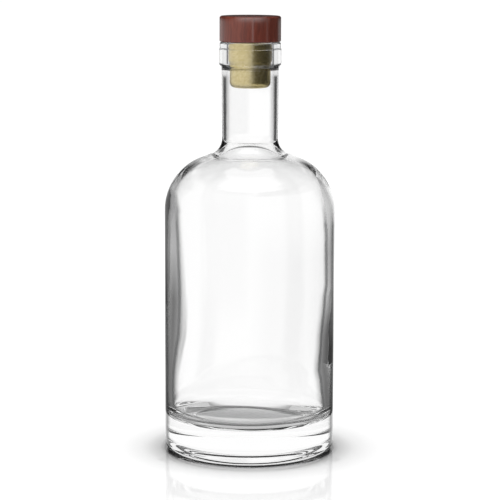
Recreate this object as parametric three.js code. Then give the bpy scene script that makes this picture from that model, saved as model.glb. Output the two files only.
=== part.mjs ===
// Clear glass spirits bottle, about 700 ml, closed by a bar-top stopper: a turned wooden head glued
// on a moulded synthetic-cork shank. Millimetres, +Z up, origin at the centre of the base.
import * as THREE from 'three';

// Bottle body
const bodyRadius = 45;
const bodyHeight = 148.1; // where the straight wall's line meets the shoulder's slope
const bodyWall = 4.3;
const heelRadius = 4.2; // outer rounding between wall and base

// Underside: a narrow bearing ring round a flat push-up
const bearingInnerRadius = 36.5;
const bearingRounding = 3;
const pushUpRadius = 32;
const pushUpRounding = 14;
const pushUpHeight = 4;

// Inner floor: it falls from the wall to a shallow ring, then rises to a low dome
const floorEdgeHeight = 20.8;
const floorCornerRadius = 7.8;
const floorRingRadius = 30.8;
const floorRingHeight = 16.3;
const floorRingRounding = 8;
const domeRise = 1.2;
const domeRadius = 13; // where the dome's slope would meet its flat top
const domeRounding = 300;

// Shoulder: a round edge, then a slope that flattens towards the neck
const shoulderRadius = 29.1;
const shoulderAngle = 23;
const collarRadius = 22.7; // where the slope changes
const collarAngle = 15.8;
const collarRounding = 10;
const shoulderWall = 2.7;

// Neck
const neckBottomRadius = 14.7;
const neckTopRadius = 15.1;
const neckLength = 44.2; // from the shoulder's line to the lip's underside
const neckFillet = 10.4;
const neckBore = 12.8;
const neckInnerFillet = 13;
const mouthDepth = 11.6; // straight part, from the lip's top
const mouthFlare = 2.6; // height over which the bore widens from mouth to neck
const mouthFlareRounding = 2;

// Lip, in two tiers
const lipChamfer = 1.5; // height of the sloping underside
const lipFillet = 0.9;
const lipChamferRounding = 0.8;
const lipLowerRadius = 16.4;
const lipLowerHeight = 7.9;
const lipUpperRadius = 16;
const lipUpperHeight = 3.5;
const lipEdgeRadius = 0.9;
const mouthEdgeRadius = 0.6;

// Stopper shank: a wide seal in the mouth, then a slimmer tip in the neck
const sealRadius = 11.45;
const sealLength = 9.5;
const sealTaper = 1.9; // length of the cone between seal and tip
const tipRadius = 10.7;
const shankLength = 24;
const tipRounding = 3;
const tenonRadius = 6;
const tenonLength = 7.6;
const tenonEdge = 0.5;

// Stopper head
const headRadius = 16.1;
const headHeight = 13.4;
const headTopRounding = 1.3;
const headBottomRounding = 0.5;

// Gap left between pieces that touch
const clearance = 0.3;

const segments = 48; // facets round the axis
const facetAngle = 12; // degrees of rounding per facet of a profile

const rad = THREE.MathUtils.degToRad;

// Turns corners [radius, height, rounding] into a profile whose corners are arcs. Where two arcs
// would meet on a short edge, both shrink to share it.
function rounded(corners) {
  const points = corners.map(([r, z]) => new THREE.Vector2(r, z));
  const last = points.length - 1;
  const turn = points.map((p, i) => {
    if (i === 0 || i === last) return 0;
    const before = p.clone().sub(points[i - 1]);
    const after = points[i + 1].clone().sub(p);
    return Math.atan2(before.cross(after), before.dot(after));
  });
  const reach = corners.map(([, , rounding = 0], i) => rounding * Math.tan(Math.abs(turn[i]) / 2));
  const room = points.map((p, i) => (i === last ? 1
    : Math.min(1, (0.98 * p.distanceTo(points[i + 1])) / Math.max(reach[i] + reach[i + 1], 1e-9))));
  const profile = [];
  points.forEach((corner, i) => {
    const cut = i === 0 || i === last ? 0 : reach[i] * Math.min(room[i - 1], room[i]);
    if (cut < 1e-6) {
      profile.push(corner);
      return;
    }
    const start = points[i - 1].clone().sub(corner).setLength(cut).add(corner);
    const radius = cut / Math.tan(Math.abs(turn[i]) / 2);
    const inward = corner.clone().sub(start).rotateAround(new THREE.Vector2(), Math.sign(turn[i]) * Math.PI / 2);
    const centre = inward.setLength(radius).add(start);
    const steps = Math.max(1, Math.ceil(Math.abs(turn[i]) / rad(facetAngle)));
    for (let k = 0; k <= steps; k++) {
      profile.push(start.clone().rotateAround(centre, (turn[i] * k) / steps));
    }
  });
  return profile;
}

// Solid of revolution about Z from a profile that starts and ends on the axis.
function turned(name, corners, material) {
  const geometry = new THREE.LatheGeometry(rounded(corners), segments);
  const mesh = new THREE.Mesh(geometry, material);
  mesh.name = name;
  mesh.rotation.x = Math.PI / 2;
  return mesh;
}

// Heights that follow from the sizes
const tanShoulder = Math.tan(rad(shoulderAngle));
const tanCollar = Math.tan(rad(collarAngle));
const shoulderDrop = shoulderWall / Math.cos(rad(shoulderAngle)); // vertical thickness of the slope
const collarDrop = shoulderWall / Math.cos(rad(collarAngle));
const slopeAt = (r) => bodyHeight + (bodyRadius - r) * tanShoulder;
const collarAt = (r) => slopeAt(collarRadius) + (collarRadius - r) * tanCollar;
const lipUnderside = collarAt(neckBottomRadius) + neckLength;
const lipLowerBottom = lipUnderside + lipChamfer;
const lipStep = lipLowerBottom + lipLowerHeight;
const lipTop = lipStep + lipUpperHeight;
const mouthEnd = lipTop - mouthDepth;
const seat = lipTop + clearance; // the stopper rests on the lip

// Inner wall, a wall's thickness inside the outer one
const innerRadius = bodyRadius - bodyWall;
const innerCollarRadius = collarRadius - (shoulderDrop - collarDrop) / (tanShoulder - tanCollar);
const mouthRadius = sealRadius + clearance;

const glass = new THREE.MeshStandardMaterial({
  color: '#f3f7f6', roughness: 0.04, metalness: 0, transparent: true, opacity: 0.3,
});
const wood = new THREE.MeshStandardMaterial({ color: '#6a3a31', roughness: 0.42, metalness: 0 });
const syntheticCork = new THREE.MeshStandardMaterial({ color: '#bfae7a', roughness: 0.36, metalness: 0 });

const bottle = turned('bottle', [
  [0, pushUpHeight],
  [pushUpRadius, pushUpHeight, pushUpRounding],
  [bearingInnerRadius, 0, bearingRounding],
  [bodyRadius, 0, heelRadius],
  [bodyRadius, bodyHeight, shoulderRadius],
  [collarRadius, slopeAt(collarRadius), collarRounding],
  [neckBottomRadius, collarAt(neckBottomRadius), neckFillet],
  [neckTopRadius, lipUnderside, lipFillet],
  [lipLowerRadius, lipLowerBottom, lipChamferRounding],
  [lipLowerRadius, lipStep],
  [lipUpperRadius, lipStep],
  [lipUpperRadius, lipTop, lipEdgeRadius],
  [mouthRadius, lipTop, mouthEdgeRadius],
  [mouthRadius, mouthEnd, mouthFlareRounding],
  [neckBore, mouthEnd - mouthFlare, mouthFlareRounding],
  [neckBore, collarAt(neckBore) - collarDrop, neckInnerFillet],
  [innerCollarRadius, slopeAt(innerCollarRadius) - shoulderDrop, collarRounding],
  [innerRadius, slopeAt(innerRadius) - shoulderDrop, shoulderRadius - shoulderWall],
  [innerRadius, floorEdgeHeight, floorCornerRadius],
  [floorRingRadius, floorRingHeight, floorRingRounding],
  [domeRadius, floorRingHeight + domeRise, domeRounding],
  [0, floorRingHeight + domeRise],
], glass);

// Stopper, placed with the head's underside at its origin
const stopper = new THREE.Group();
stopper.position.z = seat;

const head = turned('stopper_head', [
  [0, tenonLength + clearance],
  [tenonRadius + clearance, tenonLength + clearance],
  [tenonRadius + clearance, 0],
  [headRadius, 0, headBottomRounding],
  [headRadius, headHeight, headTopRounding],
  [0, headHeight],
], wood);

const shank = turned('stopper_shank', [
  [0, -shankLength],
  [tipRadius, -shankLength, tipRounding],
  [tipRadius, -sealLength - sealTaper],
  [sealRadius, -sealLength],
  [sealRadius, -clearance],
  [tenonRadius, -clearance],
  [tenonRadius, tenonLength, tenonEdge],
  [0, tenonLength],
], syntheticCork);

stopper.add(head, shank);

const group = new THREE.Group();
group.add(bottle, stopper);

export default group;
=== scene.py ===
"""Clear glass spirits bottle with a bar-top stopper, standing on a white table in soft studio light."""
import math

import bpy
import numpy as np
from mathutils import Matrix, Vector


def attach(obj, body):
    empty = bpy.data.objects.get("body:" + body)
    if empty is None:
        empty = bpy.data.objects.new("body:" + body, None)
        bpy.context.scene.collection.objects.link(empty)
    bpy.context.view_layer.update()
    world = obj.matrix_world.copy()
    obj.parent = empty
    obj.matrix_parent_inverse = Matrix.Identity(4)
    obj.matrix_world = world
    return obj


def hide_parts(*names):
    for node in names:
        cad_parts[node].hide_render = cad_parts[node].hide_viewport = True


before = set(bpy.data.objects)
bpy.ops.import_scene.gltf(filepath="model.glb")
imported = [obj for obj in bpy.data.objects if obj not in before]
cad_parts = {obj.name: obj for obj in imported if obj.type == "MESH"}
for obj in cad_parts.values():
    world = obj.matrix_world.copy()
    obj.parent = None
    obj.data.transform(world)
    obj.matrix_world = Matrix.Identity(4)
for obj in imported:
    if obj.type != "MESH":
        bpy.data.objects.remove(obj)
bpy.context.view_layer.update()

MM = 0.001

# Sizes of the solids, in mm and degrees
BODY_R, BODY_H, BODY_WALL, HEEL_R = 45, 148.1, 4.3, 4.2
BEARING_R, BEARING_ROUND, PUSH_R, PUSH_ROUND, PUSH_H = 36.5, 3, 32, 14, 4
FLOOR_EDGE_H, FLOOR_CORNER, RING_R, RING_H, RING_ROUND = 20.8, 7.8, 30.8, 16.3, 8
DOME_RISE, DOME_R, DOME_ROUND = 1.2, 13, 300
SHOULDER_R, COLLAR_R, SLOPE_WALL, SHOULDER_ANGLE, COLLAR_ANGLE = 29.1, 22.7, 2.7, 23, 15.8
NECK_LOW_R, NECK_TOP_R, NECK_LENGTH, NECK_FILLET = 14.7, 15.1, 44.2, 10.4
NECK_BORE, NECK_INNER_FILLET, MOUTH_DEPTH, MOUTH_FLARE, MOUTH_FLARE_ROUND = 12.8, 13, 11.6, 2.6, 2
LIP_CHAMFER, LIP_FILLET, LIP_CHAMFER_ROUND = 1.5, 0.9, 0.8
LIP_LOW_R, LIP_LOW_H, LIP_TOP_R, LIP_TOP_H = 16.4, 7.9, 16, 3.5
LIP_EDGE_ROUND, MOUTH_EDGE_ROUND = 0.9, 0.6
SEAL_R, SEAL_LENGTH, SEAL_TAPER, TIP_R, SHANK_LENGTH, TIP_ROUND = 11.45, 9.5, 1.9, 10.7, 24, 3
TENON_R, TENON_LENGTH, TENON_EDGE = 6, 7.6, 0.5
HEAD_R, HEAD_H, HEAD_TOP_ROUND, HEAD_LOW_ROUND = 16.1, 13.4, 1.3, 0.5
GAP = 0.3

# Roundings that are softer here than the solids', in mm
COLLAR_ROUND, INNER_COLLAR_ROUND, LIP_STEP_ROUND = 25, 60, 0.25
SOCKET_ROUND, TIP_TOP_ROUND, SEAL_LOW_ROUND, SEAL_TOP_ROUND = 0.2, 0.6, 0.5, 0.3

# The blown wall is uneven: by height, how much thicker it is all round, and how far its inner face
# stands to the right, in mm
WALL_EXTRA = [(24, 0), (34, 0.4), (44, 1.0), (62, 1.1), (75, 0.6), (89, 0.1), (115, -0.1), (142, 0.2),
              (150, 0)]
WALL_LEAN = [(24, 0), (34, -0.4), (44, -0.6), (62, 0.5), (75, 1.0), (89, 1.3), (115, 0.9), (126, 0.4),
             (138, -0.5), (152, 0)]
RIPPLE, RIPPLE_SCALE = 0.0014, 22.0  # in metres, and per metre
RIPPLE_DRAWN = 0.35  # the glass is drawn out along the axis, and so is the ripple
RIPPLE_FADE = 30  # mm under the lip over which the ripple comes in

# Arcs and sides
CHORD_ANGLE, CHORD_LENGTH, FEWEST_CHORDS = 3, 2, 2  # an arc's chords: degrees and mm at most, number
EDGE_SHARE = 0.98  # the share of an edge that the arcs at its ends take at most
SHARP = 1e-6  # an arc that would start nearer to its corner than this many mm is left out
OUTER_STEP, INNER_STEP, STOPPER_STEP = 6, 3, 2  # the longest straight stretch between points, in mm
BOTTLE_SIDES, STOPPER_SIDES = 200, 128


# Outlines
def rounded(corners):
    """Corners (radius, height, rounding) in mm become a list of points in metres with true arcs."""
    points = [Vector(c[:2]) for c in corners]
    last = len(points) - 1
    turns, reaches = [0.0] * (last + 1), [0.0] * (last + 1)
    for i in range(1, last):
        before, after = points[i] - points[i - 1], points[i + 1] - points[i]
        turns[i] = math.atan2(before.x * after.y - before.y * after.x, before.dot(after))
        reaches[i] = (corners[i][2] if len(corners[i]) > 2 else 0) * math.tan(abs(turns[i]) / 2)
    room = [min(1, EDGE_SHARE * (points[i + 1] - points[i]).length / max(reaches[i] + reaches[i + 1], 1e-9))
            for i in range(last)]
    profile = []
    for i, corner in enumerate(points):
        cut = 0 if i in (0, last) else reaches[i] * min(room[i - 1], room[i])
        if cut < SHARP:
            profile.append(corner * MM)
            continue
        start = corner + (points[i - 1] - corner).normalized() * cut
        radius = cut / math.tan(abs(turns[i]) / 2)
        edge = (corner - start).normalized()
        inward = Vector((-edge.y, edge.x)) * math.copysign(radius, turns[i])
        centre = start + inward
        steps = max(FEWEST_CHORDS, math.ceil(math.degrees(abs(turns[i])) / CHORD_ANGLE),
                    math.ceil(radius * abs(turns[i]) / CHORD_LENGTH))
        for k in range(steps + 1):
            profile.append((centre + Matrix.Rotation(turns[i] * k / steps, 2) @ -inward) * MM)
    return profile


def refined(profile, longest):
    """Adds points on straight stretches longer than this many mm, so that the wall's unevenness can
    bend them."""
    out = [profile[0]]
    for a, b in zip(profile, profile[1:]):
        n = max(1, math.ceil((b - a).length / (longest * MM)))
        out += [a.lerp(b, k / n) for k in range(1, n + 1)]
    return out


def at_height(stops, height):
    """The value in mm between stops (height in mm, value in mm), both height and value in metres here."""
    return float(np.interp(height / MM, *zip(*stops))) * MM


def lifted(corners):
    """The stopper's corners, moved up from its seat's level to where it sits."""
    return [(c[0], c[1] + SEAT) + tuple(c[2:]) for c in corners]


def slope_at(r):
    return BODY_H + (BODY_R - r) * TAN_SHOULDER


def collar_at(r):
    return slope_at(COLLAR_R) + (COLLAR_R - r) * TAN_COLLAR


TAN_SHOULDER, TAN_COLLAR = math.tan(math.radians(SHOULDER_ANGLE)), math.tan(math.radians(COLLAR_ANGLE))
SLOPE_DROP, COLLAR_DROP = SLOPE_WALL * math.hypot(1, TAN_SHOULDER), SLOPE_WALL * math.hypot(1, TAN_COLLAR)
LIP_BOTTOM = collar_at(NECK_LOW_R) + NECK_LENGTH
LIP_STEP = LIP_BOTTOM + LIP_CHAMFER + LIP_LOW_H
LIP_TOP = LIP_STEP + LIP_TOP_H
SEAT = LIP_TOP + GAP
MOUTH_END = LIP_TOP - MOUTH_DEPTH
INNER_R = BODY_R - BODY_WALL
INNER_COLLAR_R = COLLAR_R - (SLOPE_DROP - COLLAR_DROP) / (TAN_SHOULDER - TAN_COLLAR)
MOUTH_R = SEAL_R + GAP
LIP_MIDDLE_R = MOUTH_R + 1.5  # where the outer half of the outline ends and the inner half starts

bottle_outer = [
    (0, PUSH_H), (PUSH_R, PUSH_H, PUSH_ROUND), (BEARING_R, 0, BEARING_ROUND), (BODY_R, 0, HEEL_R),
    (BODY_R, BODY_H, SHOULDER_R), (COLLAR_R, slope_at(COLLAR_R), COLLAR_ROUND),
    (NECK_LOW_R, collar_at(NECK_LOW_R), NECK_FILLET), (NECK_TOP_R, LIP_BOTTOM, LIP_FILLET),
    (LIP_LOW_R, LIP_BOTTOM + LIP_CHAMFER, LIP_CHAMFER_ROUND), (LIP_LOW_R, LIP_STEP, LIP_STEP_ROUND),
    (LIP_TOP_R, LIP_STEP, LIP_STEP_ROUND), (LIP_TOP_R, LIP_TOP, LIP_EDGE_ROUND), (LIP_MIDDLE_R, LIP_TOP)]
bottle_inner = [
    (LIP_MIDDLE_R, LIP_TOP), (MOUTH_R, LIP_TOP, MOUTH_EDGE_ROUND), (MOUTH_R, MOUTH_END, MOUTH_FLARE_ROUND),
    (NECK_BORE, MOUTH_END - MOUTH_FLARE, MOUTH_FLARE_ROUND),
    (NECK_BORE, collar_at(NECK_BORE) - COLLAR_DROP, NECK_INNER_FILLET),
    (INNER_COLLAR_R, slope_at(INNER_COLLAR_R) - SLOPE_DROP, INNER_COLLAR_ROUND),
    (INNER_R, slope_at(INNER_R) - SLOPE_DROP, SHOULDER_R - SLOPE_WALL),
    (INNER_R, FLOOR_EDGE_H, FLOOR_CORNER), (RING_R, RING_H, RING_ROUND),
    (DOME_R, RING_H + DOME_RISE, DOME_ROUND), (0, RING_H + DOME_RISE)]
head_outline = [
    (0, TENON_LENGTH + GAP), (TENON_R + GAP, TENON_LENGTH + GAP), (TENON_R + GAP, 0, SOCKET_ROUND),
    (HEAD_R, 0, HEAD_LOW_ROUND), (HEAD_R, HEAD_H, HEAD_TOP_ROUND), (0, HEAD_H)]
shank_outline = [
    (0, -SHANK_LENGTH), (TIP_R, -SHANK_LENGTH, TIP_ROUND), (TIP_R, -SEAL_LENGTH - SEAL_TAPER, TIP_TOP_ROUND),
    (SEAL_R, -SEAL_LENGTH, SEAL_LOW_ROUND), (SEAL_R, -GAP, SEAL_TOP_ROUND), (TENON_R, -GAP),
    (TENON_R, TENON_LENGTH, TENON_EDGE), (0, TENON_LENGTH)]


# Node helpers
def node(tree, kind, inputs=None, links=None, **settings):
    """Adds a node, sets its settings and input values, and links other nodes' outputs to its inputs."""
    made = tree.nodes.new(kind)
    for key, value in settings.items():
        setattr(made, key, value)
    for key, value in (inputs or {}).items():
        made.inputs[key].default_value = value
    for key, (source, output) in (links or {}).items():
        tree.links.new(source.outputs[output], made.inputs[key])
    return made


def hex_linear(text):
    """sRGB hex to a linear colour."""
    parts = [int(text[i:i + 2], 16) / 255 for i in (1, 3, 5)]
    return tuple(c / 12.92 if c <= 0.04045 else ((c + 0.055) / 1.055) ** 2.4 for c in parts) + (1.0,)


def new_material(name):
    material = bpy.data.materials.new(name)
    material.use_nodes = True
    material.node_tree.nodes.clear()
    return material, material.node_tree


# Revolve tree
def revolve_tree():
    """Turns an outline in the XZ plane about Z: a grid of sides by outline points, each column turned
    to its angle. Points with an inner weight are rippled, as a blown wall is, and a lean moves points
    along X."""
    tree = bpy.data.node_groups.new("Revolve outline", "GeometryNodeTree")
    face = tree.interface
    face.new_socket("Geometry", in_out="INPUT", socket_type="NodeSocketGeometry")
    for name, kind, value in (("Sides", "NodeSocketInt", 192), ("Outline points", "NodeSocketInt", 10),
                              ("Ripple", "NodeSocketFloat", 0.0), ("Ripple size", "NodeSocketFloat", 20.0),
                              ("Seed", "NodeSocketFloat", 3.0)):
        face.new_socket(name, in_out="INPUT", socket_type=kind).default_value = value
    face.new_socket("Material", in_out="INPUT", socket_type="NodeSocketMaterial")
    face.new_socket("Geometry", in_out="OUTPUT", socket_type="NodeSocketGeometry")
    entry = node(tree, "NodeGroupInput")
    columns = node(tree, "ShaderNodeMath", {1: 1.0}, {0: (entry, "Sides")}, operation="ADD")
    grid = node(tree, "GeometryNodeMeshGrid", links={
        "Vertices X": (columns, 0), "Vertices Y": (entry, "Outline points")})
    index = node(tree, "GeometryNodeInputIndex")
    row = node(tree, "ShaderNodeMath", operation="MODULO", links={
        0: (index, 0), 1: (entry, "Outline points")})
    column = node(tree, "ShaderNodeMath", operation="DIVIDE", links={
        0: (index, 0), 1: (entry, "Outline points")})
    column = node(tree, "ShaderNodeMath", links={0: (column, 0)}, operation="FLOOR")
    share = node(tree, "ShaderNodeMath", links={0: (column, 0), 1: (entry, "Sides")}, operation="DIVIDE")
    angle = node(tree, "ShaderNodeMath", {1: 2 * math.pi}, {0: (share, 0)}, operation="MULTIPLY")
    # each point of the grid takes its place and its weights from the outline's point of its row
    sources = {"place": node(tree, "GeometryNodeInputPosition")}
    for key in ("inner", "lean"):
        sources[key] = node(tree, "GeometryNodeInputNamedAttribute", {"Name": key})
    taken = {}
    for key, source in sources.items():
        taken[key] = node(tree, "GeometryNodeSampleIndex", links={
            "Geometry": (entry, "Geometry"), "Value": (source, 0), "Index": (row, 0)},
            data_type="FLOAT_VECTOR" if key == "place" else "FLOAT")
    turned = node(tree, "ShaderNodeVectorRotate", {"Axis": (0, 0, 1)},
                  {"Vector": (taken["place"], 0), "Angle": (angle, 0)})
    # the ripple pushes the inner wall in and out by smooth noise
    stretched = node(tree, "ShaderNodeVectorMath", {1: (1, 1, RIPPLE_DRAWN)}, {0: (turned, 0)},
                     operation="MULTIPLY")
    noise = node(tree, "ShaderNodeTexNoise", {"Detail": 1.0, "Roughness": 0.4}, {
        "Vector": (stretched, 0), "W": (entry, "Seed"), "Scale": (entry, "Ripple size")},
        noise_dimensions="4D")
    centred = node(tree, "ShaderNodeMath", {1: 0.5}, {0: (noise, 0)}, operation="SUBTRACT")
    amount = node(tree, "ShaderNodeMath", links={0: (centred, 0), 1: (entry, "Ripple")}, operation="MULTIPLY")
    amount = node(tree, "ShaderNodeMath", operation="MULTIPLY", links={
        0: (amount, 0), 1: (taken["inner"], 0)})
    normal = node(tree, "GeometryNodeInputNormal")
    push = node(tree, "ShaderNodeVectorMath", links={0: (normal, 0), "Scale": (amount, 0)}, operation="SCALE")
    aside = node(tree, "ShaderNodeCombineXYZ", links={"X": (taken["lean"], 0)})
    shape = node(tree, "GeometryNodeSetPosition", links={"Geometry": (grid, 0), "Position": (turned, 0)})
    rippled = node(tree, "GeometryNodeSetPosition", links={"Geometry": (shape, 0), "Offset": (push, 0)})
    leaning = node(tree, "GeometryNodeSetPosition", links={"Geometry": (rippled, 0), "Offset": (aside, 0)})
    welded = node(tree, "GeometryNodeMergeByDistance", {"Distance": 1e-6}, {"Geometry": (leaning, 0)})
    smooth = node(tree, "GeometryNodeSetShadeSmooth", links={0: (welded, 0)})
    real = node(tree, "GeometryNodeRealizeInstances", links={0: (smooth, 0)})
    painted = node(tree, "GeometryNodeSetMaterial", links={
        "Geometry": (real, 0), "Material": (entry, "Material")})
    node(tree, "NodeGroupOutput", links={0: (painted, 0)})
    return tree


REVOLVE = revolve_tree()


def revolved(name, outline, material, body, replaced, slot, weights=None, **sizes):
    """A piece turned from its outline, as a plain mesh that stands for a node of the frame."""
    mesh = bpy.data.meshes.new(name + "_outline")
    mesh.from_pydata([(p.x, 0, p.y) for p in outline], [(i, i + 1) for i in range(len(outline) - 1)], [])
    for key in ("inner", "lean"):
        values = (weights or {}).get(key, [0.0] * len(outline))
        mesh.attributes.new(key, "FLOAT", "POINT").data.foreach_set("value", np.array(values, np.float32))
    holder = bpy.data.objects.new(name + "_outline", mesh)
    bpy.context.scene.collection.objects.link(holder)
    modifier = holder.modifiers.new("Revolve", "NODES")
    modifier.node_group = REVOLVE
    values = {"Outline points": len(outline), "Material": material, **sizes}
    for item in REVOLVE.interface.items_tree:
        if item.in_out == "INPUT" and item.name in values:
            modifier[item.identifier] = values[item.name]
    graph = bpy.context.evaluated_depsgraph_get()
    result = bpy.data.meshes.new_from_object(holder.evaluated_get(graph), depsgraph=graph)
    bpy.data.objects.remove(holder)
    result.name = name
    piece = bpy.data.objects.new(name, result)
    bpy.context.scene.collection.objects.link(piece)
    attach(piece, body)
    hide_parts(replaced)
    return piece


# Materials
def flint_glass():
    """Soda-lime flint glass, blown in a mould and fire-polished: colourless and mirror-smooth, so the
    eye sees only what it bends and a faint reflection of the studio on its front. The body's rim has a
    painted shade: the glass's colour turns dark where the wall is seen edge-on."""
    material, tree = new_material("Flint glass, fire-polished")
    place = node(tree, "ShaderNodeTexCoord")
    height = node(tree, "ShaderNodeSeparateXYZ", links={0: (place, "Object")})
    # the painted dark rim ends where the body's straight wall does
    body = node(tree, "ShaderNodeMapRange", {"From Min": 0.136, "From Max": 0.122}, {"Value": (height, "Z")})
    # painted rim shade: the glass's colour darkens where the body's wall is seen at a grazing angle
    graze = node(tree, "ShaderNodeLayerWeight", {"Blend": 0.5})
    painted_rim_shade = node(tree, "ShaderNodeMapRange", {"From Min": 0.67, "From Max": 0.76}, {
        "Value": (graze, "Facing")})
    painted_rim_shade = node(tree, "ShaderNodeMath", links={0: (painted_rim_shade, 0), 1: (body, 0)}, operation="MULTIPLY")
    tint = node(tree, "ShaderNodeMix", {"A": hex_linear("#ffffff"), "B": hex_linear("#202222")},
                {"Factor": (painted_rim_shade, 0)}, data_type="RGBA")
    shader = node(tree, "ShaderNodeBsdfPrincipled", {
        "Roughness": 0.0, "IOR": 1.52, "Transmission Weight": 1.0}, {"Base Color": (tint, 2)})
    node(tree, "ShaderNodeOutputMaterial", links={"Surface": (shader, 0)})
    return material


def lacquered_wood():
    """Close-grained hardwood turned across its length, stained red-brown under a clear satin lacquer:
    fine streaks along the axis in the side, darker pores, and the lacquer's sharp veil over them."""
    material, tree = new_material("Stained hardwood, clear lacquer")
    place = node(tree, "ShaderNodeTexCoord")
    # streaks 0.4 mm wide and some 12 mm long, bent a little by a slow wander
    wander = node(tree, "ShaderNodeTexNoise", {"Scale": 70.0, "Detail": 1.0}, {"Vector": (place, "Object")})
    wander = node(tree, "ShaderNodeVectorMath", {1: (0.5, 0.5, 0.5)}, {0: (wander, 1)}, operation="SUBTRACT")
    wander = node(tree, "ShaderNodeVectorMath", {"Scale": 0.004}, {0: (wander, 0)}, operation="SCALE")
    bent = node(tree, "ShaderNodeVectorMath", links={0: (place, "Object"), 1: (wander, 0)}, operation="ADD")
    long_way = node(tree, "ShaderNodeMapping", {"Scale": (1, 1, 0.045)}, {"Vector": (bent, 0)})
    streaks = node(tree, "ShaderNodeTexNoise", {"Scale": 1100.0, "Detail": 3.0, "Roughness": 0.6},
                   {"Vector": (long_way, 0)})
    bands = node(tree, "ShaderNodeTexNoise", {"Scale": 260.0, "Detail": 2.0}, {"Vector": (long_way, 0)})
    both = node(tree, "ShaderNodeMix", {"Factor": 0.45}, {"A": (streaks, 0), "B": (bands, 0)},
                data_type="FLOAT")
    stain = node(tree, "ShaderNodeValToRGB", links={"Fac": (both, 0)})
    stain.color_ramp.elements.new(0.5)
    for stop, (at, tone) in zip(stain.color_ramp.elements, ((0.3, "#451c14"), (0.5, "#5f2a1e"),
                                                            (0.7, "#75392a"))):
        stop.position, stop.color = at, hex_linear(tone)
    bump = node(tree, "ShaderNodeBump", {"Strength": 0.12, "Distance": 0.0002}, {"Height": (streaks, 0)})
    shader = node(tree, "ShaderNodeBsdfPrincipled", {
        "Roughness": 0.55, "IOR": 1.5, "Specular IOR Level": 0.2, "Coat Weight": 1.0, "Coat Roughness": 0.09,
        "Coat IOR": 1.5}, {"Base Color": (stain, "Color"), "Normal": (bump, 0)})
    node(tree, "ShaderNodeOutputMaterial", links={"Surface": (shader, 0)})
    return material


def synthetic_cork():
    """Foamed thermoplastic moulded with a pearl pigment: a smooth khaki skin with a metallic sheen, so
    one side is pale and the other falls to near black."""
    material, tree = new_material("Synthetic cork, pearl khaki")
    place = node(tree, "ShaderNodeTexCoord")
    cells = node(tree, "ShaderNodeTexNoise", {"Scale": 900.0, "Detail": 2.0}, {"Vector": (place, "Object")})
    skin = node(tree, "ShaderNodeValToRGB", links={"Fac": (cells, 0)})
    for stop, (at, tone) in zip(skin.color_ramp.elements, ((0.35, "#bfae74"), (0.65, "#cfc08c"))):
        stop.position, stop.color = at, hex_linear(tone)
    bump = node(tree, "ShaderNodeBump", {"Strength": 0.05, "Distance": 0.0002}, {"Height": (cells, 0)})
    shader = node(tree, "ShaderNodeBsdfPrincipled", {"Roughness": 0.36, "Metallic": 0.88, "IOR": 1.5},
                  {"Base Color": (skin, "Color"), "Normal": (bump, 0)})
    node(tree, "ShaderNodeOutputMaterial", links={"Surface": (shader, 0)})
    return material


# Pieces
outer = refined(rounded(bottle_outer), OUTER_STEP)
inner = [Vector((p.x - at_height(WALL_EXTRA, p.y), p.y)) for p in refined(rounded(bottle_inner), INNER_STEP)]
inner = inner[1:]  # its first point is the outer half's last
ripple_shares = [min(1, max(0, (LIP_BOTTOM * MM - p.y) / (RIPPLE_FADE * MM))) for p in inner]
leans = [at_height(WALL_LEAN, p.y) for p in inner]
unmoved = [0.0] * len(outer)
revolved("bottle_glass", outer + inner, flint_glass(), "glass", "bottle", "flint_glass",
         {"inner": unmoved + ripple_shares, "lean": unmoved + leans},
         **{"Sides": BOTTLE_SIDES, "Ripple": RIPPLE, "Ripple size": RIPPLE_SCALE})
revolved("stopper_head_turned", refined(rounded(lifted(head_outline)), STOPPER_STEP), lacquered_wood(),
         "stopper", "stopper_head", "lacquered_wood", Sides=STOPPER_SIDES)
revolved("stopper_shank_moulded", refined(rounded(lifted(shank_outline)), STOPPER_STEP), synthetic_cork(),
         "stopper", "stopper_shank", "synthetic_cork", Sides=STOPPER_SIDES)

# Camera, as fitted to the photograph with a body radius of 44 mm
SCALE = BODY_R / 44
PHOTO_PX, SENSOR = 500, 36.0
FOCAL_PX, PITCH, ROLL = 1995.9, 8.77, -0.175
CAMERA_PLACE = (0.00018, -1.0245, 0.2626)
camera_data = bpy.data.cameras.new("Camera")
camera_data.sensor_width = SENSOR
camera_data.lens = FOCAL_PX / PHOTO_PX * SENSOR
camera_data.clip_start = 0.05
camera_data.clip_end = 40
camera = bpy.data.objects.new("Camera", camera_data)
camera.location = [c * SCALE for c in CAMERA_PLACE]
camera.rotation_euler = (math.radians(90 - PITCH), 0, 0)
camera.rotation_euler.rotate_axis("Z", math.radians(-ROLL))
bpy.context.scene.collection.objects.link(camera)
bpy.context.scene.camera = camera

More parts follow.
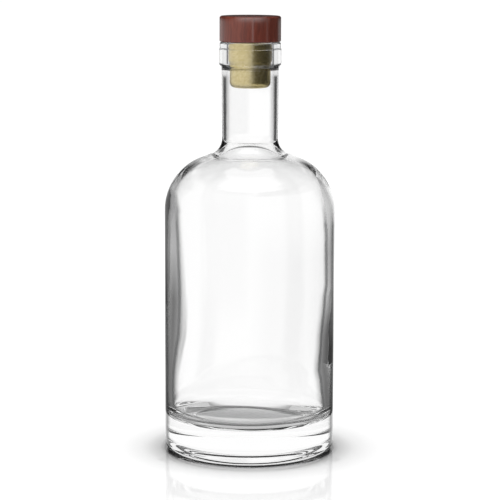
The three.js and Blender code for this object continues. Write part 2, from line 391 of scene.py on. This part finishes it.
# Studio: two round cloth walls, which only reflected and refracted rays see. Each tone is (azimuth,
# brightness) at a height in mm; azimuth is in degrees from straight behind the bottle, plus to the
# right of the photograph, and 180 is the photograph's side.
BASE_TONES = [
    (-180, 1), (-112, 1), (-98, 0.25), (-84, 0.16), (-76, 0.18), (-70, 0.3), (-66, 0.5), (-62, 0.46),
    (-60, 0.6), (-58, 0.66), (-56, 0.9), (-54, 1), (54, 1), (57, 0.85), (60, 0.62), (64, 0.5), (68, 0.25),
    (74, 0.14), (86, 0.14), (98, 0.25), (112, 1), (180, 1)]
BODY_WALL_TONES = {
    -20: BASE_TONES,
    34: BASE_TONES,
    52: [(-180, 1), (-112, 1), (-98, 0.25), (-86, 0.19), (-66, 0.19), (-64, 0.24), (-63, 0.4), (-61, 0.45),
         (-57, 0.39), (-56, 0.46), (-55, 0.62), (-54, 0.85), (-53, 1), (53, 1), (57, 0.85), (60, 0.62),
         (64, 0.5), (67, 0.45), (70, 0.2), (76, 0.13), (84, 0.16), (98, 0.25), (112, 0.6), (165, 0.6),
         (180, 1)],
    78: [(-180, 1), (-112, 1), (-98, 0.25), (-86, 0.14), (-78, 0.17), (-71, 0.12), (-69, 0.2), (-67, 0.4),
         (-64, 0.55), (-61, 0.66), (-59, 0.72), (-57, 0.94), (-56, 1), (60, 1), (66, 0.93), (70, 0.85),
         (73, 0.4), (77, 0.3), (80, 0.5), (88, 0.55), (98, 0.25), (112, 0.5), (165, 0.5), (180, 0.9)],
    105: [(-180, 1), (-112, 1), (-98, 0.4), (-82, 0.5), (-77, 0.42), (-74, 0.28), (-71, 0.38), (-66, 0.52),
          (-62, 0.67), (-60, 0.9), (-58, 1), (62, 1), (68, 0.95), (72, 0.8), (76, 0.35), (80, 0.36),
          (88, 0.45), (98, 0.3), (112, 0.5), (165, 0.5), (180, 0.9)],
    132: [(-180, 1), (-112, 1), (-98, 0.4), (-85, 0.4), (-71, 0.4), (-68, 0.42), (-65, 0.62), (-63, 0.66),
          (-61, 0.9), (-59, 1), (66, 1), (72, 0.95), (76, 0.5), (80, 0.42), (84, 0.6), (90, 0.7), (98, 0.4),
          (112, 1), (180, 1)]}
NECK_TONES = [
    (-180, 1), (-100, 1), (-85, 0.4), (-62, 0.3), (-55, 0.1), (-50, 0.03), (-40, 0.03), (-34, 0.1),
    (-27, 0.55), (-24, 0.7), (-21, 0.8), (-18, 1), (18, 1), (21, 0.8), (24, 0.7), (27, 0.55), (34, 0.1),
    (40, 0.03), (50, 0.03), (55, 0.1), (62, 0.3), (85, 0.4), (100, 1), (180, 1)]
CARD_END = [(158, 0.02), (168, 0.3), (178, 1), (180, 1)]  # of a dark card in front, to the right
NECK_CARD_TONES = NECK_TONES[:-2] + [(98, 0.05)] + CARD_END
LIP_TONES = [
    (-180, 1), (-100, 1), (-85, 0.7), (-76, 0.5), (-72, 0.08), (-64, 0.08), (-60, 0.7), (-50, 0.85),
    (-25, 0.85), (-18, 1), (18, 1), (25, 0.85), (50, 0.85), (60, 0.7), (64, 0.08), (72, 0.08), (76, 0.5),
    (88, 0.3), (100, 0.03)] + CARD_END
HEAD_TONES = [
    (-180, 0.25), (-165, 0.45), (-140, 0.75), (-86, 0.85), (-60, 0.8), (-42, 0.7), (-30, 0.3), (30, 0.2),
    (40, 0.4), (55, 0.5), (66, 0.03), (112, 0.02), (117, 0.4), (120, 0.6), (124, 0.03), (166, 0.02),
    (170, 1.2), (173, 1.6), (176, 0.3), (180, 0.25)]
TOP_TONES = [
    (-180, 3), (-150, 3), (-125, 1), (-100, 0.05), (100, 0.05), (125, 1), (150, 3), (180, 3)]
HEAD_WALL_TONES = {
    120: NECK_TONES, 183: NECK_TONES, 187: NECK_CARD_TONES, 193: NECK_CARD_TONES, 196: LIP_TONES,
    207: LIP_TONES, 210: HEAD_TONES, 224: HEAD_TONES, 228: TOP_TONES, 400: TOP_TONES}
# What rays see that have crossed glass twice or more on their way to the head wall's front half, such
# as those off the cork
CORK_TONES = [
    (-180, 0.9), (-172, 1.1), (-150, 1.2), (-70, 1.1), (-60, 0.8), (-45, 0.5), (45, 0.4), (60, 0.3),
    (80, 0.08), (95, 0.02), (148, 0.0), (158, 0.05), (166, 0.2), (173, 0.5), (180, 0.9)]
CORK_TONES_FROM, CORK_TONES_LOW = 60, 0.15  # the azimuth and the height that they start from
OUTSIDE_LOW = 0.014  # below this height the floor's own reflections pass through a wall
WALL_COLUMNS = 720


def studio_wall(name, radius, low, high, tones, rows, inside_tones=None):
    """A cloth wall of a radius and between two heights in metres."""
    heights = sorted(tones)
    angles = np.linspace(-180, 180, WALL_COLUMNS, endpoint=False)
    levels = np.array([np.interp(angles, *zip(*tones[z])) for z in heights])
    inside = np.interp(angles, *zip(*inside_tones)) if inside_tones else None
    verts, faces, glow, deep_glow = [], [], [], []
    for c, angle in enumerate(np.radians(angles)):
        n = (c + 1) % WALL_COLUMNS
        own_tone = inside_tones and abs(angles[c]) > CORK_TONES_FROM
        for r in range(rows + 1):
            z = low + (high - low) * r / rows
            verts.append((radius * math.sin(angle), radius * math.cos(angle), z))
            glow.append(float(np.interp(z / MM, heights, levels[:, c])))
            deep_glow.append(float(inside[c]) if own_tone and z > CORK_TONES_LOW else glow[-1])
        for r in range(rows):
            here, beside = c * (rows + 1) + r, n * (rows + 1) + r
            faces.append((here, beside, beside + 1, here + 1))
    mesh = bpy.data.meshes.new(name)
    mesh.from_pydata(verts, [], faces)
    for key, values in (("glow", glow), ("deep_glow", deep_glow)):
        mesh.attributes.new(key, "FLOAT", "POINT").data.foreach_set("value", np.array(values, np.float32))
    material, tree = new_material(name + " cloth")
    tone = node(tree, "ShaderNodeAttribute", attribute_name="glow")
    deep_tone = node(tree, "ShaderNodeAttribute", attribute_name="deep_glow")
    rays = node(tree, "ShaderNodeLightPath")
    deep = node(tree, "ShaderNodeMath", {1: 2.5}, {0: (rays, "Transmission Depth")}, operation="GREATER_THAN")
    tone = node(tree, "ShaderNodeMix", data_type="FLOAT", links={
        "Factor": (deep, 0), "A": (tone, "Fac"), "B": (deep_tone, "Fac")})
    light = node(tree, "ShaderNodeEmission", {"Color": hex_linear("#ffffff")}, {"Strength": (tone, 0)})
    # a ray from outside, or one that has come through a wall, sees none of it, and neither does one
    # off the floor that meets it low down
    side = node(tree, "ShaderNodeNewGeometry")
    height = node(tree, "ShaderNodeSeparateXYZ", links={0: (side, "Position")})
    below = node(tree, "ShaderNodeMath", {1: OUTSIDE_LOW}, {0: (height, "Z")}, operation="LESS_THAN")
    unbent = node(tree, "ShaderNodeMath", {1: 0.5}, {0: (rays, "Transmission Depth")}, operation="LESS_THAN")
    floor_ray = node(tree, "ShaderNodeMath", links={0: (below, 0), 1: (unbent, 0)}, operation="MULTIPLY")
    through = node(tree, "ShaderNodeMath", links={0: (side, "Backfacing"), 1: (rays, "Transparent Depth")},
                   operation="MAXIMUM")
    hidden = node(tree, "ShaderNodeMath", links={0: (through, 0), 1: (floor_ray, 0)}, operation="MAXIMUM",
                  use_clamp=True)
    clear = node(tree, "ShaderNodeBsdfTransparent")
    mixed = node(tree, "ShaderNodeMixShader", links={0: (hidden, 0), 1: (light, 0), 2: (clear, 0)})
    node(tree, "ShaderNodeOutputMaterial", links={"Surface": (mixed, 0)})
    material.cycles.emission_sampling = "NONE"
    mesh.materials.append(material)
    wall = bpy.data.objects.new(name, mesh)
    bpy.context.scene.collection.objects.link(wall)
    wall.visible_camera = wall.visible_diffuse = wall.visible_shadow = wall.visible_volume_scatter = False


studio_wall("Body wall", radius=0.056, low=-0.02, high=0.152, tones=BODY_WALL_TONES, rows=60)
studio_wall("Head wall", radius=0.11, low=0.12, high=0.4, tones=HEAD_WALL_TONES, rows=100,
            inside_tones=CORK_TONES)

# Brightness of the table by radius in mm. What reflected and refracted rays see of it, all painted:
# a grey painted shade under the base, a dark painted shadow at the ring where the bottle stands, and
# white outside. A painted glow that the camera sees added to the lit table, which fades to none towards
# the base and so leaves a painted shade around it. And a painted contact shadow that darkens the
# board's colour towards the base.
TABLE_SEEN_PAINTED_SHADE = [(0, 0.34), (22, 0.36), (28, 0.53), (38.5, 0.53), (42.5, 0.04), (46.5, 0.03), (50, 0.9),
              (56, 1.0)]
TABLE_PAINTED_GLOW = [(43, 0.0), (47, 0.02), (52, 0.15), (60, 0.35), (70, 0.45), (150, 0.48), (600, 0.7),
              (1500, 1.0)]
TABLE_PAINTED_CONTACT_SHADOW = [(44.6, 0.04), (45.3, 0.14), (46, 0.5), (48, 0.8), (56, 1.0)]
TABLE_HALF = 12.0  # metres


def rings(tree, distance, stops):
    """Tones by radius, from a node that gives the distance to the axis."""
    reach = stops[-1][0] * MM
    share = node(tree, "ShaderNodeMath", {1: reach}, {0: (distance, "Value")}, operation="DIVIDE",
                 use_clamp=True)
    ramp = node(tree, "ShaderNodeValToRGB", links={"Fac": (share, 0)})
    elements = ramp.color_ramp.elements
    while len(elements) < len(stops):
        elements.new(0.5)
    for element, (at, tone) in zip(elements, stops):
        element.position, element.color = at * MM / reach, (tone, tone, tone, 1)
    return ramp


def table():
    """White acrylic sheet with a satin polish: a matt white with a painted contact shadow where the
    bottle stands on it, and under the polish a soft mirror image of the base."""
    mesh = bpy.data.meshes.new("Table")
    mesh.from_pydata([(x * TABLE_HALF, y * TABLE_HALF, 0) for x, y in ((-1, -1), (1, -1), (1, 1), (-1, 1))],
                     [], [(0, 1, 2, 3)])
    material, tree = new_material("White acrylic table, satin")
    rays = node(tree, "ShaderNodeLightPath")
    place = node(tree, "ShaderNodeTexCoord")
    distance = node(tree, "ShaderNodeVectorMath", links={0: (place, "Object")}, operation="LENGTH")
    # painted contact shadow: the board's colour is darkened in a ring where the bottle stands
    painted_contact_shadow = rings(tree, distance, TABLE_PAINTED_CONTACT_SHADOW)
    board = node(tree, "ShaderNodeMix", {"Factor": 1.0, "A": hex_linear("#cdcdcd")},
                 {"B": (painted_contact_shadow, "Color")}, data_type="RGBA", blend_type="MULTIPLY")
    board = node(tree, "ShaderNodeBsdfDiffuse", links={"Color": (board, 2)})
    # painted glow for the camera: none near the base, so that it leaves a painted shade around it, and white
    # far off
    painted_glow = rings(tree, distance, TABLE_PAINTED_GLOW)
    glow = node(tree, "ShaderNodeEmission", {"Strength": 1.0}, {"Color": (painted_glow, "Color")})
    matt = node(tree, "ShaderNodeAddShader", links={0: (board, 0), 1: (glow, 0)})
    polish = node(tree, "ShaderNodeBsdfGlossy", {"Color": hex_linear("#ffffff"), "Roughness": 0.07})
    share = node(tree, "ShaderNodeFresnel", {"IOR": 1.45})
    lit = node(tree, "ShaderNodeMixShader", links={0: (share, 0), 1: (matt, 0), 2: (polish, 0)})
    # what reflected and refracted rays see of the table is painted: grey painted shade under the base, a dark
    # painted shadow at the ring where the bottle stands, white outside
    tone = rings(tree, distance, TABLE_SEEN_PAINTED_SHADE)
    seen_painted_shade = node(tree, "ShaderNodeEmission", {"Strength": 1.0}, {"Color": (tone, "Color")})
    by_glass = node(tree, "ShaderNodeMath", operation="MAXIMUM", links={
        0: (rays, "Is Glossy Ray"), 1: (rays, "Is Transmission Ray")})
    mixed = node(tree, "ShaderNodeMixShader", links={0: (rays, "Is Camera Ray"), 1: (board, 0), 2: (lit, 0)})
    mixed = node(tree, "ShaderNodeMixShader", links={0: (by_glass, 0), 1: (mixed, 0), 2: (seen_painted_shade, 0)})
    node(tree, "ShaderNodeOutputMaterial", links={"Surface": (mixed, 0)})
    material.cycles.emission_sampling = "NONE"
    mesh.materials.append(material)
    made = bpy.data.objects.new("Table", mesh)
    bpy.context.scene.collection.objects.link(made)


table()


def softbox(name, place, target, size, watts, shadow=True):
    """A square lamp that lights the pieces, but shows in no reflection."""
    data = bpy.data.lights.new(name, "AREA")
    data.shape, data.size, data.size_y, data.energy = "RECTANGLE", size, size, watts
    data.use_shadow = shadow
    lamp = bpy.data.objects.new(name, data)
    lamp.location = place
    lamp.rotation_mode = "QUATERNION"
    lamp.rotation_quaternion = (Vector(target) - Vector(place)).to_track_quat("-Z", "Y")
    bpy.context.scene.collection.objects.link(lamp)
    lamp.visible_camera = lamp.visible_glossy = lamp.visible_transmission = False


softbox("Softbox left", place=(-0.8, -1.0, 0.65), target=(0, 0, 0.15), size=0.8, watts=13, shadow=False)
softbox("Softbox top", place=(0.0, 0.1, 1.4), target=(0, 0, 0.1), size=1.2, watts=10)

# World: white to the camera, the glass and every reflection, and a dim ambient light on the rest
AMBIENT = 0.38
world = bpy.data.worlds.new("Studio")
bpy.context.scene.world = world
world.use_nodes = True
sky = world.node_tree
sky.nodes.clear()
sky_rays = node(sky, "ShaderNodeLightPath")
direct = node(sky, "ShaderNodeMath", operation="MAXIMUM", links={
    0: (sky_rays, "Is Camera Ray"), 1: (sky_rays, "Is Transmission Ray")})
direct = node(sky, "ShaderNodeMath", operation="MAXIMUM", links={
    0: (direct, 0), 1: (sky_rays, "Is Glossy Ray")})
ambient = node(sky, "ShaderNodeBackground", {"Color": hex_linear("#ffffff"), "Strength": AMBIENT})
backdrop = node(sky, "ShaderNodeBackground", {"Color": hex_linear("#ffffff"), "Strength": 1.0})
chosen = node(sky, "ShaderNodeMixShader", links={0: (direct, 0), 1: (ambient, 0), 2: (backdrop, 0)})
node(sky, "ShaderNodeOutputWorld", links={"Surface": (chosen, 0)})

bpy.context.scene.view_settings.view_transform = "Standard"
